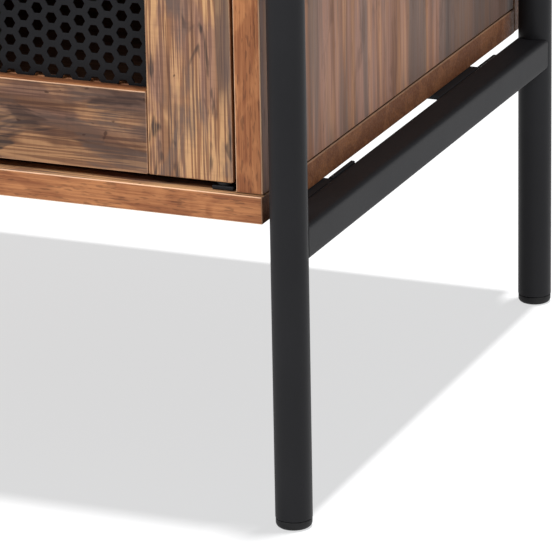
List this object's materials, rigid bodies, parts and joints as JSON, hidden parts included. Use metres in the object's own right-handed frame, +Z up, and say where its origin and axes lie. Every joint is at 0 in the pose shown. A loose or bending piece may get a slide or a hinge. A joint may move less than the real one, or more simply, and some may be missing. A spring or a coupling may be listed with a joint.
{
  "type": "tv stand with doors",
  "caption": "Low TV stand: brown wood-grain case between black tube side frames, open middle bay with a shelf, and a hinged metal-mesh door over each side bay.",
  "frame": {"origin": "floor level, under the middle of the whole stand, knobs included", "axes": "+X to the right along the width, +Y to the back, +Z up"},
  "size_m": [1.2, 0.4285, 0.52],
  "materials": {
    "wood_grain_board": "matt rustic brown wood-grain laminate with worn pale arrises",
    "black_powder_coat": "satin black powder coat",
    "black_mesh": "matt black powder coat on perforated sheet",
    "black_plastic": "moulded, matt",
    "zinc_steel": "bright zinc plate"
  },
  "bodies": {
    "cabinet": {"top_panel": "wood_grain_board", "bottom_panel": "wood_grain_board", "side_panel_left": "wood_grain_board", "side_panel_right": "wood_grain_board", "divider_left": "wood_grain_board", "divider_right": "wood_grain_board", "middle_shelf": "wood_grain_board", "back_panel_left": "wood_grain_board", "back_panel_middle": "wood_grain_board", "back_panel_right": "wood_grain_board", "leg_front_left": "black_powder_coat", "bracket_front_left": "black_powder_coat", "leg_front_right": "black_powder_coat", "bracket_front_right": "black_powder_coat", "leg_rear_left": "black_powder_coat", "bracket_rear_left": "black_powder_coat", "leg_rear_right": "black_powder_coat", "bracket_rear_right": "black_powder_coat", "lower_rail_left": "black_powder_coat", "upper_rail_left": "black_powder_coat", "pivot_lower_left": "black_powder_coat", "pivot_upper_left": "black_powder_coat", "lower_rail_right": "black_powder_coat", "upper_rail_right": "black_powder_coat", "pivot_lower_right": "black_powder_coat", "pivot_upper_right": "black_powder_coat", "glide_front_left": "black_plastic", "spacer_front_left": "black_plastic", "glide_front_right": "black_plastic", "spacer_front_right": "black_plastic", "glide_rear_left": "black_plastic", "spacer_rear_left": "black_plastic", "glide_rear_right": "black_plastic", "spacer_rear_right": "black_plastic", "catch_left": "black_plastic", "catch_right": "black_plastic", "frame_bolt_front_left": "zinc_steel", "frame_bolt_front_right": "zinc_steel", "frame_bolt_rear_left": "zinc_steel", "frame_bolt_rear_right": "zinc_steel"},
    "door_left": {"door_left_hinge_stile": "wood_grain_board", "door_left_lock_stile": "wood_grain_board", "door_left_top_rail": "wood_grain_board", "door_left_bottom_rail": "wood_grain_board", "door_left_mesh": "black_mesh", "door_left_knob": "black_powder_coat", "door_left_knob_screw": "zinc_steel", "door_left_strike": "zinc_steel", "door_left_lower_bush": "black_plastic", "door_left_upper_bush": "black_plastic"},
    "door_right": {"door_right_hinge_stile": "wood_grain_board", "door_right_lock_stile": "wood_grain_board", "door_right_top_rail": "wood_grain_board", "door_right_bottom_rail": "wood_grain_board", "door_right_mesh": "black_mesh", "door_right_knob": "black_powder_coat", "door_right_knob_screw": "zinc_steel", "door_right_strike": "zinc_steel", "door_right_lower_bush": "black_plastic", "door_right_upper_bush": "black_plastic"}
  },
  "joints": [
    {"name": "door_right_hinge", "type": "hinge", "parent": "cabinet", "child": "door_right", "pos_m": [0.5517, -0.1784, 0.34325], "axis": [0, 0, 1], "range_deg": [0, 110]},
    {"name": "door_left_hinge", "type": "hinge", "parent": "cabinet", "child": "door_left", "pos_m": [-0.5517, -0.1784, 0.34325], "axis": [0, 0, -1], "range_deg": [0, 110]}
  ]
}
